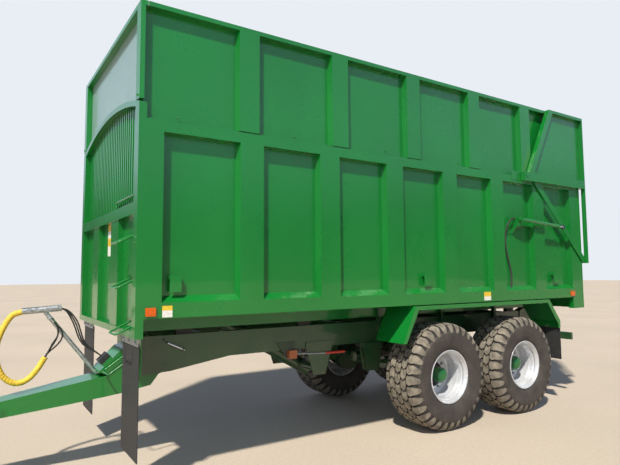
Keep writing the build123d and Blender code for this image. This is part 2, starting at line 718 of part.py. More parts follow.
def guard_outline(inset, drop):
    # Bent run over the two wheels, 'inset' inside the outer face
    front, rear = guard_front + inset, guard_rear - inset
    return [(front, guard_front_z - drop), (front + 190, guard_top - inset), (rear - 235, guard_top - inset),
            (rear, guard_shoulder_z - inset), (rear, guard_front_z - drop)]


def mudguards():
    skin = plate_xz(guard_outline(0, 10) + guard_outline(guard_sheet, 10)[::-1], guard_y0, guard_y1)
    rim = plate_xz(guard_outline(0, 10) + guard_outline(guard_flange, 10)[::-1],
                   guard_y1 - guard_sheet, guard_y1)
    return both(skin + rim)


def guard_brackets():
    # Arms out under the guards, on legs from the rails
    part = []
    under = guard_top - guard_sheet
    for b in guard_arms:
        arm = block(b - arm_size / 2, b + arm_size / 2, rail_out, guard_y1 - guard_sheet,
                    under - arm_size, under)
        leg = block(b - arm_size / 2, b + arm_size / 2, rail_out, rail_out + arm_size,
                    rail_z1 - 120, under - arm_size)
        part += both(arm + leg)
    return part


def rear_flaps():
    return both(block(guard_rear, guard_rear + 8, guard_y0 + 15, guard_y1 - 10, 600, 1080))


def lamp_bar():
    bar = block(lamp_bar_back, lamp_bar_back + 40, -lamp_bar_y, lamp_bar_y, lamp_bar_z0, lamp_bar_z1)
    for y in (-1, 1):
        bar += block(rail_back, rail_back + plate, y * 385, y * 455, lamp_bar_z0, rail_z0 + 60)
        bar += block(rail_back, lamp_bar_back, y * 385, y * 455, lamp_bar_z0, lamp_bar_z1)
    return bar


def lamps():
    back = lamp_bar_back + 40
    return both(block(back, back + 35, lamp_bar_y - 250, lamp_bar_y - 30, lamp_bar_z0 + 10, lamp_bar_z1 - 10))


def handbrake():
    # Lever on a bracket on the left rail, with its grip
    y = rail_out
    back, z = lever_pivot
    bracket = plate_xz([(back - 240, 1050), (back, 1050), (back, z - 45), (back - 100, z - 45)], y, y + 8)
    body = block(back - 100, back, y + 8, y + 48, z - 45, z + 45)

    def on_lever(point):
        return at(point[0], y + 30, point[1])

    lever = rod(on_lever(lever_pivot), on_lever(lever_grip), lever_r)
    return bracket + body + lever + rod(on_lever(lever_grip), on_lever(lever_end), grip_r)


def post_axis():
    return (at(stand_top[0], 0, stand_top[1]) - at(stand_foot[0], 0, stand_foot[1])).normalized()


def park_frame():
    # Middle of the plate that the couplings hang on, square to the post
    origin = at(stand_top[0], 0, stand_top[1]) - post_axis() * park_drop
    return Plane(origin=origin, x_dir=(0, 1, 0), z_dir=post_axis())


def hose_stand():
    # Leaning post with a guide tube for the hoses and the plate for their couplings
    post = rod(at(stand_foot[0], 0, stand_foot[1]), at(stand_top[0], 0, stand_top[1]), stand_r)
    rear, front = at(guide_rear[0], 0, guide_rear[1]), at(guide_front[0], 0, guide_front[1])
    way = (front - rear).normalized()
    guide = rod(rear, front, guide_r)
    bore = rod(rear - way * 5, front + way * 5, guide_r - guide_wall)
    park = park_frame() * Pos((park_y[0] + park_y[2]) / 2, 0, 3) * Box(park_y[2] - park_y[0] + 34, 44, 6)
    return post + guide + park - bore - drawbar()


def block_frame():
    # The terminal block's foot on the nose's sloping cover
    low, high = at(-50, 0, 880), at(160, 0, 1085)
    slope = (high - low).normalized()
    foot = low + slope * (0.24 * (high - low).length)
    return foot, slope, Vector(-slope.Z, 0, slope.X) * -1


def hose_block():
    foot, slope, up = block_frame()
    middle = foot + slope * (block_length / 2) + up * (block_height / 2)
    return Plane(origin=middle, x_dir=slope, z_dir=up) * Box(block_length, block_width, block_height)


def couplings():
    part = []
    for y in park_y:
        part.append(park_frame() * Pos(y, 0, -coupling_length / 2) * Cylinder(coupling_r, coupling_length))
    return part


def corner_arcs(points):
    # Each corner's arc is as large as its two runs allow
    radii = []
    for p, q, r in zip(points, points[1:], points[2:]):
        half_turn = radians((q - p).get_angle(r - q) / 2)
        radii.append(0.45 * min((q - p).length, (r - q).length) / tan(half_turn))
    return radii


def guide_line():
    # Where the hoses run straight: from the guide tube's rear mouth to past its front
    rear, front = at(guide_rear[0], 0, guide_rear[1]), at(guide_front[0], 0, guide_front[1])
    way = (front - rear).normalized()
    return rear + way * 15, front - way * 30, front + way * 45


def service_hose(k):
    # One hose from the terminal block, over the stand and round to its coupling
    foot, slope, up = block_frame()
    aside = Vector(0, k * hose_pitch, 0)
    leave = foot + slope * (block_length / 2) + up * block_height
    route = [leave + aside, leave + up * 40 + aside]
    for x, z, spread in hose_rise:
        route.append(at(-x - 0.85 * k * spread, k * hose_pitch, z - 0.5 * k * spread))
    start, inside, out = guide_line()
    route += [start + aside, out + aside]
    route += [at(-x, k * hose_pitch, z) for x, z in hose_loop]
    route += [at(-x, y, z) for x, y, z in hose_tails[k + 1]]
    frame = park_frame()
    end = (frame * Pos(park_y[k + 1], 0, -coupling_length)).position
    route += [end - post_axis() * 40, end]
    radii = corner_arcs(route)
    print("hose radii", [round(r) for r in radii])
    return swept(route, radii, hose_r)


def hose_sleeve():
    # Spiral wrap round the hoses from inside the guide tube to the end of the loop
    start, inside, out = guide_line()
    route = [inside, out] + [at(-x, 0, z) for x, z in hose_loop]
    radii = corner_arcs([start] + route[1:])
    route[-1] = (route[-2] + route[-1]) / 2
    path = FilletPolyline(*route, radius=radii)
    ring = Circle(sleeve_r) - Circle(sleeve_r - sleeve_wall)
    return sweep(path.location_at(0) * ring, path=path)


def gate_hose():
    # Ram hose from its bracket down the side sheet into the ledge
    front = gate_ram_back - 50
    route = [at(front - back, y, z) for back, y, z in gate_hose_points]
    ledge = plate_yz([(inner_y, sill_z), (half_width, sill_z), (half_width, ledge_z),
                      (sheet_y, ledge_top_z), (inner_y, ledge_top_z)], front - 300, front)
    radii = corner_arcs(route)
    print("ram hose radii", [round(r) for r in radii])
    return both(swept(route, radii, ram_hose_r) - ledge)


# Wheels

def tyre(back, side_sign):
    y0, y1 = tyre_y - tyre_width, tyre_y
    bead = rim_r - bead_height
    half = [(56, bead), (44, rim_r), (28, rim_r + 1), (8, 400), (0, 470), (14, 545), (60, tyre_r - 14),
            (130, tyre_r)]
    section = [(y0 + t, r) for t, r in half] + [(y1 - t, r) for t, r in reversed(half)]
    ring = Polyline(*[Vector(0, y * side_sign, r) for y, r in section], close=True)
    return Pos(head_x - back, 0, tyre_r) * revolve(make_face(ring), axis=Axis.Y)


def wheel(back, side_sign):
    # Rim, deep disc and hub in one, bored for the spindle
    y0, y1 = tyre_y - tyre_width + rim_inset, tyre_y - rim_inset
    disc = tyre_y - dish_back
    base = rim_r - bead_height
    section = [(y0, rim_r), (y0, base - 5), (y0 + 20, base - 11), (disc - 60, base - 30), (disc - 60, hub_r),
               (disc - 140, hub_r), (disc - 140, spindle_r + pin_gap), (spindle_end + 5, spindle_r + pin_gap),
               (spindle_end + 5, 0), (hub_face, 0), (hub_face, hub_r - 2), (disc + 30, hub_foot_r),
               (disc - 44, 110), (disc - 44, base - 42), (y1 - 22, base - 26), (y1 - 6, base - 3),
               (y1, base + 5), (y1, rim_r), (y1 - 14, rim_r), (y1 - 26, base), (y0 + 26, base),
               (y0 + 14, rim_r)]
    ring = Polyline(*[Vector(0, y * side_sign, r) for y, r in section], close=True)
    return Pos(head_x - back, 0, tyre_r) * revolve(make_face(ring), axis=Axis.Y)


# Build

save("floor", [floor()])
save("floor_bearers", floor_bearers())
save("side_walls", both(side()))
save("extension_sides", both(extension_side()))
save("headboard", [headboard()])
save("extension_front", [extension_front()])
save("ladder_rungs", climbing_bars())
save("body_runners", runners())
save("ram_head_bracket", [head_bracket()])
save("gate_pivots", gate_pivots())
save("gate_ram_feet", ram_feet())
save("gate_hoses", gate_hose())
save("gate_frames", both(gate_frame()))
save("gate_wings", both(gate_wing()))
save("gate_door", [gate_door()])
save("gate_hatch", [hatch()])
gate_barrel, gate_piston = gate_ram()
for label, index in (("left", 0), ("right", 1)):
    save(f"gate_barrel_{label}", [both(gate_barrel)[index]])
    save(f"gate_rod_{label}", [both(gate_piston)[index]])
save("chassis_rails", rails())
save("crossmembers", crossmembers())
save("rest_pads", rest_pads())
save("hinge_plates", hinge_plates())
save("drawbar", [drawbar()])
save("hitch_eye", [hitch_eye()])
save("jack_housing", [jack()])
save("jack_leg", [jack_leg()])
save("ram_cradle", cradle())
for k, stage in enumerate(tip_ram()):
    save(f"tip_ram_{k}", [stage])
save("axles", axles())
save("brake_chambers", chambers())
save("leaf_springs", springs())
save("spring_hangers", hangers())
save("mudguards", mudguards())
save("mudguard_brackets", guard_brackets())
save("rear_flaps", rear_flaps())
save("lamp_bar", [lamp_bar()])
save("rear_lamps", lamps())
save("handbrake", [handbrake()])
save("hose_stand", [hose_stand()])
save("hose_block", [hose_block()])
save("hose_couplings", couplings())
save("service_hoses", [service_hose(k) for k in (-1, 0, 1)])
save("hose_sleeve", [hose_sleeve()])
save("front_flaps", flaps())
save("flap_hangers", flap_hangers())
save("marker_lamps", marker_lamps())
save("rope_hooks", rope_hooks())
for label, back, side_sign in (("front_left", axle_backs[0], 1), ("front_right", axle_backs[0], -1),
                               ("rear_left", axle_backs[1], 1), ("rear_right", axle_backs[1], -1)):
    save(f"tyre_{label}", [tyre(back, side_sign)])
    save(f"wheel_{label}", [wheel(back, side_sign)])
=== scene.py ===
# Silage trailer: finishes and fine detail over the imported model, in metres
import json
import math

import bmesh
import bpy
from mathutils import Matrix, Vector


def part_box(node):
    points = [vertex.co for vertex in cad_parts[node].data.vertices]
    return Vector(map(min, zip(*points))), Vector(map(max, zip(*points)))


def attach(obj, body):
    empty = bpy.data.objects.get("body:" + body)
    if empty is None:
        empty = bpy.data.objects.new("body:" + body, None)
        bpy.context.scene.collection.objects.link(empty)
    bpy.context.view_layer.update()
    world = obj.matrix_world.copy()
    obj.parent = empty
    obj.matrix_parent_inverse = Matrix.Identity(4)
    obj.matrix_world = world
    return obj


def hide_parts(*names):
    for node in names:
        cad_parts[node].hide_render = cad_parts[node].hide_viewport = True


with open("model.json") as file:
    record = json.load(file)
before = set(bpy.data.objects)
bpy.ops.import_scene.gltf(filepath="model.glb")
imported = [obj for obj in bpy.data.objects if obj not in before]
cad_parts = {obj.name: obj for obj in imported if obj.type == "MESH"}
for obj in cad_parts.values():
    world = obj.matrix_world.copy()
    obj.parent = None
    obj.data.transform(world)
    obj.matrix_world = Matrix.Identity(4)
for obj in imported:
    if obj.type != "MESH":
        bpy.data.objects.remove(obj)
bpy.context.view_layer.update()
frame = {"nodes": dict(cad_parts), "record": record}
nodes = frame["nodes"]

# Places taken from the frame
head_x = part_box("headboard")[1].x
side_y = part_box("side_walls")[1].y
rail_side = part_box("chassis_rails")[1].y
tyre_low, tyre_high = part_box("tyre_front_left")
tyre_width = tyre_high.y - tyre_low.y
wheel_labels = ("front_left", "front_right", "rear_left", "rear_right")
sides = ((1, "left"), (-1, "right"))


def at(back, y, z):
    # A point by its distance behind the headboard's face
    return Vector((head_x - back, y, z))


# Materials

hole_pitch = 0.016
sheet_face = head_x - 0.0605   # just ahead of the extension's front sheet
band_edge = 0.0005             # half the soft edge between two colours
dust_low, dust_top = 0.3, 1.5  # heights between which road dust fades away


def srgb(r, g, b):
    # Display values 0 to 255 as the linear colour that shaders take
    def linear(v):
        v = v / 255
        return v / 12.92 if v <= 0.04045 else ((v + 0.055) / 1.055) ** 2.4
    return linear(r), linear(g), linear(b), 1


class Finish:
    """A procedural material, put together node by node."""

    def __init__(self, name, roughness=0.5, metallic=0.0, coat=0.0, coat_roughness=0.1):
        self.material = bpy.data.materials.new(name)
        self.material.use_nodes = True
        self.tree = self.material.node_tree
        self.shader = self.tree.nodes["Principled BSDF"]
        self.shader.inputs["Roughness"].default_value = roughness
        self.shader.inputs["Metallic"].default_value = metallic
        self.shader.inputs["Coat Weight"].default_value = coat
        self.shader.inputs["Coat Roughness"].default_value = coat_roughness
        self.place = self.tree.nodes.new("ShaderNodeTexCoord").outputs["Object"]

    def node(self, kind, inputs=None, **settings):
        made = self.tree.nodes.new(kind)
        for key, value in settings.items():
            setattr(made, key, value)
        for key, value in (inputs or {}).items():
            if isinstance(value, bpy.types.NodeSocket):
                self.tree.links.new(value, made.inputs[key])
            else:
                made.inputs[key].default_value = value
        return made

    def noise(self, scale, detail=3.0, stretch=(1, 1, 1)):
        spread = self.node("ShaderNodeMapping", {"Vector": self.place, "Scale": stretch})
        inputs = {"Vector": spread.outputs[0], "Scale": scale, "Detail": detail}
        return self.node("ShaderNodeTexNoise", inputs).outputs["Fac"]

    def math(self, operation, a, b=0.0):
        return self.node("ShaderNodeMath", {0: a, 1: b}, operation=operation).outputs[0]

    def span(self, value, low, high, to_low=0.0, to_high=1.0):
        ends = {"From Min": low, "From Max": high, "To Min": to_low, "To Max": to_high}
        return self.node("ShaderNodeMapRange", {"Value": value, **ends}).outputs["Result"]

    def mix(self, share, a, b):
        return self.node("ShaderNodeMix", {0: share, 6: a, 7: b}, data_type="RGBA").outputs[2]

    def axis(self, name):
        return self.node("ShaderNodeSeparateXYZ", {0: self.place}).outputs[name]

    def colour(self, value):
        self.tree.links.new(value, self.shader.inputs["Base Color"])

    def rough(self, value):
        self.tree.links.new(value, self.shader.inputs["Roughness"])

    def bump(self, height, distance):
        inputs = {"Height": height, "Distance": distance, "Strength": 1.0}
        normal = self.node("ShaderNodeBump", inputs).outputs[0]
        self.tree.links.new(normal, self.shader.inputs["Normal"])
        self.tree.links.new(normal, self.shader.inputs["Coat Normal"])


def dust_share(finish, most):
    # Road dust: strongest near the ground, broken up by noise
    rise = finish.span(finish.axis("Z"), dust_low, dust_top, most, 0.0)
    patches = finish.span(finish.noise(4, 4), 0.3, 0.8)
    return finish.math("MULTIPLY", rise, patches)


def paint(name, body, shade, dust=0.0):
    # Gloss paint over rolled sheet: a faint unevenness, slight waves, dust towards the ground
    made = Finish(name, coat=0.5, coat_roughness=0.04)
    base = made.mix(made.span(made.noise(0.8, 2), 0.35, 0.65), body, shade)
    if dust:
        base = made.mix(dust_share(made, dust), base, srgb(112, 104, 84))
    made.colour(base)
    made.rough(made.span(made.noise(3, 2), 0.3, 0.7, 0.26, 0.34))
    made.bump(made.noise(1.4, 1, (1, 1, 0.5)), 0.005)
    return made.material


def perforated_sheet():
    # The extension's front sheet: a close grid of round holes with painted pale sky in them, on a
    # sheet with a painted pale sky reflection
    made = Finish("perforated_sheet", coat=0.4, coat_roughness=0.08)
    turn = 2 * math.pi / hole_pitch
    across = made.math("SINE", made.math("MULTIPLY", made.axis("Y"), turn))
    up = made.math("SINE", made.math("MULTIPLY", made.axis("Z"), turn))
    hole = made.span(made.math("MULTIPLY", across, up), 0.05, 0.25)
    sheet = made.span(made.axis("X"), sheet_face, sheet_face + 0.001, 1.0, 0.0)
    soft = made.span(made.noise(1.2, 3), 0.3, 0.7, 0.75, 1.0)
    share = made.math("MULTIPLY", made.math("MULTIPLY", hole, sheet), soft)
    # Painted reflection: behind the frames the sheet is pale grey-green for the sky that it
    # reflects; the frames keep their green
    plain = made.mix(sheet, srgb(20, 120, 46), srgb(84, 124, 108))
    # Painted light: the holes take the pale colour of the sky seen through them
    made.colour(made.mix(share, plain, srgb(196, 212, 214)))
    made.rough(made.span(made.noise(3, 2), 0.3, 0.7, 0.28, 0.36))
    made.bump(made.math("MULTIPLY", share, -1.0), 0.001)
    return made.material


def banded(name, axis, bands, above=None):
    # Colours that change along one axis, as (place, colour past it); the first is the base.
    # Past the height in above, all of it takes one more colour.
    made = Finish(name, coat=0.3)
    grain = made.span(made.noise(60, 4), 0.35, 0.7, 0.0, 0.25)
    base = bands[0][1]
    along = made.axis(axis)
    for place, shade in bands[1:]:
        base = made.mix(made.span(along, place - band_edge, place + band_edge), base, shade)
    if above:
        height, shade = above
        past = made.span(made.axis("Z"), height - band_edge, height + band_edge)
        base = made.mix(past, base, shade)
    made.colour(made.mix(grain, base, srgb(96, 92, 84)))
    made.rough(made.span(made.noise(40, 3), 0.3, 0.7, 0.4, 0.55))
    made.bump(made.noise(90, 3), 0.0003)
    return made.material


def tyre_rubber(name, clean, dusty):
    # Dull rubber with dust in patches
    made = Finish(name)
    dust = made.span(made.noise(14, 6), 0.3, 0.7)
    grain = made.noise(120, 4)
    base = made.mix(dust, clean, dusty)
    made.colour(made.mix(made.math("MULTIPLY", grain, 0.3), base, srgb(40, 38, 37)))
    made.rough(made.span(grain, 0.3, 0.7, 0.75, 0.95))
    made.bump(grain, 0.0012)
    return made.material


def tyre_wall():
    # The side wall: smoother and darker than the tread
    made = Finish("tyre_wall")
    dust = made.span(made.noise(7, 5), 0.35, 0.75)
    grain = made.noise(160, 4)
    made.colour(made.mix(dust, srgb(54, 49, 46), srgb(76, 69, 63)))
    made.rough(made.span(grain, 0.3, 0.7, 0.6, 0.85))
    made.bump(grain, 0.0006)
    return made.material


def rim_paint():
    # Silver paint with a light gloss
    made = Finish("rim_paint", metallic=0.25, coat=0.5, coat_roughness=0.12)
    grain = made.noise(6, 3)
    made.colour(made.mix(made.span(grain, 0.4, 0.8), srgb(198, 200, 204), srgb(178, 178, 178)))
    made.rough(made.span(grain, 0.3, 0.7, 0.24, 0.34))
    made.bump(made.noise(300, 2), 0.0002)
    return made.material


def rubber():
    # Flaps and hoses
    made = Finish("rubber")
    grain = made.noise(40, 6)
    made.colour(made.mix(made.span(grain, 0.4, 0.75), srgb(34, 35, 36), srgb(58, 57, 55)))
    made.rough(made.span(grain, 0.3, 0.7, 0.55, 0.8))
    made.bump(made.noise(220, 3), 0.0005)
    return made.material


def galvanised():
    # Zinc with its spangle: small cells of differing grey
    made = Finish("galvanised", metallic=0.85)
    cells = made.node("ShaderNodeTexVoronoi", {"Vector": made.place, "Scale": 60})
    shade = made.node("ShaderNodeSeparateColor", {0: cells.outputs["Color"]}).outputs[0]
    made.colour(made.mix(shade, srgb(150, 155, 158), srgb(196, 200, 202)))
    made.rough(made.span(shade, 0, 1, 0.35, 0.55))
    made.bump(made.noise(90, 3), 0.0004)
    return made.material


def steel(name, tone, worn, roughness):
    made = Finish(name, metallic=1.0)
    grain = made.noise(25, 6)
    made.colour(made.mix(made.span(grain, 0.35, 0.7), tone, worn))
    made.rough(made.span(grain, 0.3, 0.7, *roughness))
    made.bump(made.noise(400, 2), 0.0002)
    return made.material


def lens(name, tone, deep):
    # A lamp's plastic lens with fine level ribs
    made = Finish(name, roughness=0.25, coat=0.15, coat_roughness=0.05)
    made.colour(made.mix(made.span(made.noise(60, 3), 0.35, 0.7), tone, deep))
    inputs = {"Vector": made.place, "Scale": 60}
    ribs = made.node("ShaderNodeTexWave", inputs, bands_direction="Z")
    made.bump(ribs.outputs["Fac"], 0.0008)
    return made.material


def wrap():
    # Yellow plastic spiral, dulled in places
    made = Finish("yellow_wrap")
    grain = made.noise(50, 5)
    made.colour(made.mix(made.span(grain, 0.4, 0.8), srgb(226, 192, 58), srgb(190, 150, 50)))
    made.rough(made.span(grain, 0.3, 0.7, 0.45, 0.65))
    made.bump(made.noise(180, 3), 0.0008)
    return made.material


green = paint("green_paint", srgb(15, 116, 42), srgb(12, 108, 38))
# The chassis's green is darker than the body's: partly painted shade under the body, with road
# dust towards the ground
under_green = paint("chassis_paint", srgb(24, 78, 40), srgb(20, 62, 34), dust=0.6)
perforated = perforated_sheet()
tread_rubber = tyre_rubber("tyre_tread", srgb(92, 85, 75), srgb(150, 141, 125))
# Painted shade: the grooves' rubber is made dark for the shade down in the grooves
groove_shade_rubber = tyre_rubber("tyre_groove_shade", srgb(30, 28, 27), srgb(52, 48, 43))
wall_rubber = tyre_wall()
silver = rim_paint()
hub_green = paint("hub_green", srgb(18, 104, 44), srgb(14, 88, 38))
black_rubber = rubber()
zinc = galvanised()
chrome = steel("chrome", srgb(205, 205, 208), srgb(180, 180, 182), (0.08, 0.2))
dark_steel = steel("dark_steel", srgb(84, 82, 80), srgb(112, 100, 88), (0.4, 0.6))
amber = lens("orange_lens", srgb(218, 98, 0), srgb(190, 74, 0))
red = lens("red_lens", srgb(180, 20, 18), srgb(130, 12, 14))
yellow = wrap()
# Red grip at the lever's rear end, then bare steel, the rusty pivot and a dark link ahead of
# it; what stands above the lever has the chassis's green
lever_finish = banded("brake_lever", "X", (
    (0, srgb(206, 44, 26)), (head_x - 2.345, srgb(150, 154, 156)),
    (head_x - 1.955, srgb(176, 92, 44)), (head_x - 1.845, srgb(44, 48, 44)),
), (0.962, srgb(22, 58, 32)))
sill_plate = banded("sill_plate", "Z", (
    (0, srgb(228, 226, 216)), (1.503, srgb(226, 190, 40)),
))
front_plate = banded("front_plate", "Z", (
    (0, srgb(230, 228, 218)), (2.085, srgb(222, 180, 44)),
    (2.165, srgb(230, 228, 218)), (2.235, srgb(222, 180, 44)),
))

finishes = {
    "green_paint": green, "chassis_paint": under_green, "rim_silver": silver, "tyre": wall_rubber,
    "rubber": black_rubber, "galvanised": zinc, "chrome": chrome, "orange_lens": amber,
    "red_lens": red, "yellow_wrap": yellow,
}

for part in frame["record"]["subparts"]:
    node = nodes[part["node"]]
    node.data.materials.clear()
    node.data.materials.append(finishes[part["material_slot"]])

for name, finish in (("extension_front", perforated), ("handbrake", lever_finish)):
    nodes[name].data.materials[0] = finish


# Mesh pieces

def piece(name, body, material):
    # An empty mesh object that rides on a body; its shape is filled in by the caller
    made = bpy.data.objects.new(name, bpy.data.meshes.new(name))
    bpy.context.scene.collection.objects.link(made)
    made.data.materials.append(material)
    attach(made, body)
    return made


def small(name, body, material, build):
    # A piece with flat faces; the given builder draws it into an empty mesh
    mesh = bmesh.new()
    build(mesh)
    bmesh.ops.recalc_face_normals(mesh, faces=mesh.faces)
    mesh.normal_update()
    made = piece(name, body, material)
    mesh.to_mesh(made.data)
    mesh.free()
    for face in made.data.polygons:
        face.use_smooth = False
    return made


def join_rings(mesh, rings, smooth=False, slot=0):
    # Closes the sides between rings of the same count
    count = len(rings[0])
    for one, two in zip(rings, rings[1:]):
        for k in range(count):
            n = (k + 1) % count
            face = mesh.faces.new((one[k], one[n], two[n], two[k]))
            face.smooth, face.material_index = smooth, slot


# Tyres

tread_depth = 0.020
foot_slack = 0.005    # how far a block's foot stands out round the tyre
pitches = 32
step = 2 * math.pi / pitches
carcass_sides = 128
groove_shade_radius = 0.52  # from here outward the carcass takes the grooves' painted shade
own_slot, groove_shade_slot = 0, 1
# Half section as (in from the wall, radius): bead and side wall, then the tread's tops
wall_line = ((0.056, 0.290), (0.046, 0.303), (0.040, 0.312), (0.034, 0.3165), (0.029, 0.3165),
             (0.026, 0.322), (0.014, 0.345), (0.007, 0.372), (0.003, 0.405), (0.001, 0.440),
             (0.0006, 0.470), (0.003, 0.500), (0.0045, 0.503), (0.006, 0.500), (0.011, 0.525))
crown_line = ((0.0005, 0.470), (0.004, 0.510), (0.014, 0.545), (0.034, 0.577), (0.060, 0.596),
              (0.095, 0.6050), (0.130, 0.6085), (0.256, 0.6095))
under_line = ((0.030, 0.560), (0.062, 0.578), (0.130, 0.589), (0.256, 0.590))
# Tread blocks as columns: (in from the wall, first edge, last edge), edges in pitches
shoulder_lug = ((0.121, 0.80, 1.12), (0.112, 0.62, 1.36), (0.094, 0.54, 1.36), (0.088, 0.60, 1.42),
                (0.062, 0.58, 1.38), (0.056, 0.54, 1.32), (0.036, 0.58, 1.32), (0.018, 0.66, 1.30),
                (0.008, 0.74, 1.26), (0.003, 0.86, 1.16))
side_block = ((0.126, 0.20, 0.58), (0.134, 0.02, 0.84), (0.152, 0.02, 0.84), (0.156, 0.14, 0.98),
              (0.178, 0.14, 0.98), (0.182, 0.02, 0.86), (0.200, 0.02, 0.84), (0.209, 0.22, 0.66))
centre_block = ((0.214, 0.72, 1.06), (0.224, 0.52, 1.32), (0.242, 0.52, 1.32), (0.246, 0.62, 1.44),
                (0.266, 0.62, 1.44), (0.270, 0.50, 1.32), (0.288, 0.50, 1.32), (0.298, 0.74, 1.08))


def crown_radius(inset):
    # Radius of the tread's top at a distance in from the wall
    for (a, ra), (b, rb) in zip(crown_line, crown_line[1:]):
        if a <= inset <= b:
            return ra + (rb - ra) * (inset - a) / (b - a)
    return crown_line[-1][1]


def ring_point(radius, angle, y):
    return Vector((radius * math.sin(angle), y, radius * math.cos(angle)))


def revolve(mesh, section, segments, slots):
    # Turns (y, radius) points round the wheel's axis; slots has the material of each band
    rings = []
    for k in range(segments):
        angle = 2 * math.pi * k / segments
        rings.append([mesh.verts.new(ring_point(r, angle, y)) for y, r in section])
    for k in range(segments):
        one, two = rings[k], rings[(k + 1) % segments]
        for a in range(len(section) - 1):
            face = mesh.faces.new((one[a], two[a], two[a + 1], one[a + 1]))
            face.smooth, face.material_index = True, slots[a]


def tread_block(mesh, columns, start, mirror):
    # A raised block: tops follow the crown, the foot is a little wider
    rows = []
    for inset, first, last in columns:
        top = crown_radius(min(inset, tyre_width - inset))
        foot = top - tread_depth
        y = tyre_width / 2 - inset
        a, b = (start + first) * step, (start + last) * step
        if mirror:
            y, a, b = -y, (start - last) * step, (start - first) * step
        slack = foot_slack / top
        profile = ((foot, a - slack), (top, a), (top, (a + b) / 2), (top, b), (foot, b + slack))
        rows.append([mesh.verts.new(ring_point(radius, angle, y)) for radius, angle in profile])
    for one, two in zip(rows, rows[1:]):
        for a in range(4):
            face = mesh.faces.new((one[a], one[a + 1], two[a + 1], two[a]))
            # The block's sloping sides and its ends take the grooves' painted shade
            face.material_index = groove_shade_slot if a in (0, 3) else own_slot
    for row in (rows[0], rows[-1][::-1]):
        mesh.faces.new(row).material_index = groove_shade_slot


def tread(mesh):
    # Two rows of shoulder lugs and side blocks with a row of centre blocks between them
    for k in range(pitches):
        for mirror in (False, True):
            tread_block(mesh, shoulder_lug, k, mirror)
            tread_block(mesh, side_block, k, mirror)
        tread_block(mesh, centre_block, k, False)


def carcass(mesh):
    # Both side walls and the grooves' ground between them
    half = [(tyre_width / 2 - inset, radius) for inset, radius in wall_line + under_line]
    section = half + [(-y, radius) for y, radius in reversed(half[:-1])]
    # Outward of the shade radius the carcass has the grooves' painted shade
    slots = [groove_shade_slot if radius > groove_shade_radius else own_slot for y, radius in section]
    revolve(mesh, section, carcass_sides, slots)


# Wheels

# Rim, disc and hub as (in from the tyre's outer wall, radius), from the lip to the hub cap
rim_line = ((0.0620, 0.2885), (0.0540, 0.2885), (0.0470, 0.2910), (0.0440, 0.3030),
            (0.0360, 0.3045), (0.0315, 0.3030), (0.0305, 0.2975), (0.0325, 0.2900),
            (0.0400, 0.2830), (0.0520, 0.2790), (0.0600, 0.2690), (0.0640, 0.2640),
            (0.0700, 0.2640), (0.0760, 0.2665), (0.0860, 0.2660), (0.0920, 0.2600),
            (0.0980, 0.2560), (0.1400, 0.2545), (0.1480, 0.2480), (0.1560, 0.2455),
            (0.2100, 0.2440), (0.2180, 0.2400), (0.2500, 0.2380), (0.2700, 0.2340),
            (0.2820, 0.2260), (0.2875, 0.2140), (0.2885, 0.2000), (0.2850, 0.1880),
            (0.2845, 0.1480), (0.2860, 0.1440), (0.2900, 0.1420))
hub_line = ((0.3060, 0.1415), (0.3060, 0.1120), (0.2900, 0.1080), (0.2600, 0.0980),
            (0.2150, 0.0920), (0.1740, 0.0880), (0.1700, 0.0840), (0.1640, 0.0820),
            (0.1580, 0.0800), (0.1500, 0.0765), (0.1420, 0.0700), (0.1350, 0.0600),
            (0.1300, 0.0480), (0.1268, 0.0330), (0.1254, 0.0170), (0.1250, 0.0005))
back_line = ((0.2900, 0.1420), (0.2990, 0.1440), (0.3000, 0.2300), (0.2960, 0.2480),
             (0.2700, 0.2560), (0.1000, 0.2640), (0.0620, 0.2885))
inner_line = ((0.2960, 0.2500), (0.3600, 0.2560), (0.4400, 0.2620), (0.4560, 0.2860),
              (0.4680, 0.3000), (0.4780, 0.3040), (0.4815, 0.3000), (0.4700, 0.2900),
              (0.4560, 0.2840), (0.4400, 0.2740), (0.3000, 0.2660), (0.2960, 0.2500))
rim_sides = 96
hub_shade_inset = 0.24  # further in than this the hub's foot is dark steel, partly its own dark foot and partly painted shade in the gap round the hub
silver_slot, hub_slot, nut_slot, hub_shade_slot = range(4)
# Bolt circles as (count, radius, in from the wall, nut); a nut's size is (half width, height)
wheel_nuts = (10, 0.1675, 0.2848, (0.0165, 0.022))
cap_bolts = (8, 0.0775, 0.1560, (0.006, 0.007))
wheel_turn = 0.37  # each wheel stands turned by this much more than the last
# A nut's rings as (share of the height, share of the half width, with flats): washer, hexagon,
# chamfer, rounded stud end
nut_rings = ((0, 1.25, False), (0.12, 1.25, False), (0.12, 1.0, True), (0.85, 1.0, True),
             (1.0, 0.8, True), (1.0, 0.52, False), (1.5, 0.5, False), (1.6, 0.3, False))
nut_sides = 6


def hex_nut(mesh, place, size, turn, way=(0, 1, 0), slot=0):
    # A nut on its stud, standing along the given way and turned about it
    half, height = size
    tilt = Vector((0, 1, 0)).rotation_difference(Vector(way)).to_matrix()
    rings = []
    for rise, share, flats in nut_rings:
        ring = []
        for k in range(2 * nut_sides):
            bulge = math.cos(math.pi / nut_sides) if flats and k % 2 else 1.0
            angle = math.pi * k / nut_sides + turn
            reach = half * share * bulge
            spot = Vector((reach * math.sin(angle), rise * height, reach * math.cos(angle)))
            ring.append(mesh.verts.new(place + tilt @ spot))
        rings.append(ring)
    join_rings(mesh, rings, slot=slot)
    mesh.faces.new(rings[-1]).material_index = slot


def bolt_circle(mesh, circle, first, slot):
    # Nuts round the wheel's axis; first is the place of the first one in shares of their pitch
    count, radius, inset, size = circle
    for k in range(count):
        angle = 2 * math.pi * (k + first) / count
        place = ring_point(radius, angle, tyre_width / 2 - inset)
        hex_nut(mesh, place, size, angle, slot=slot)


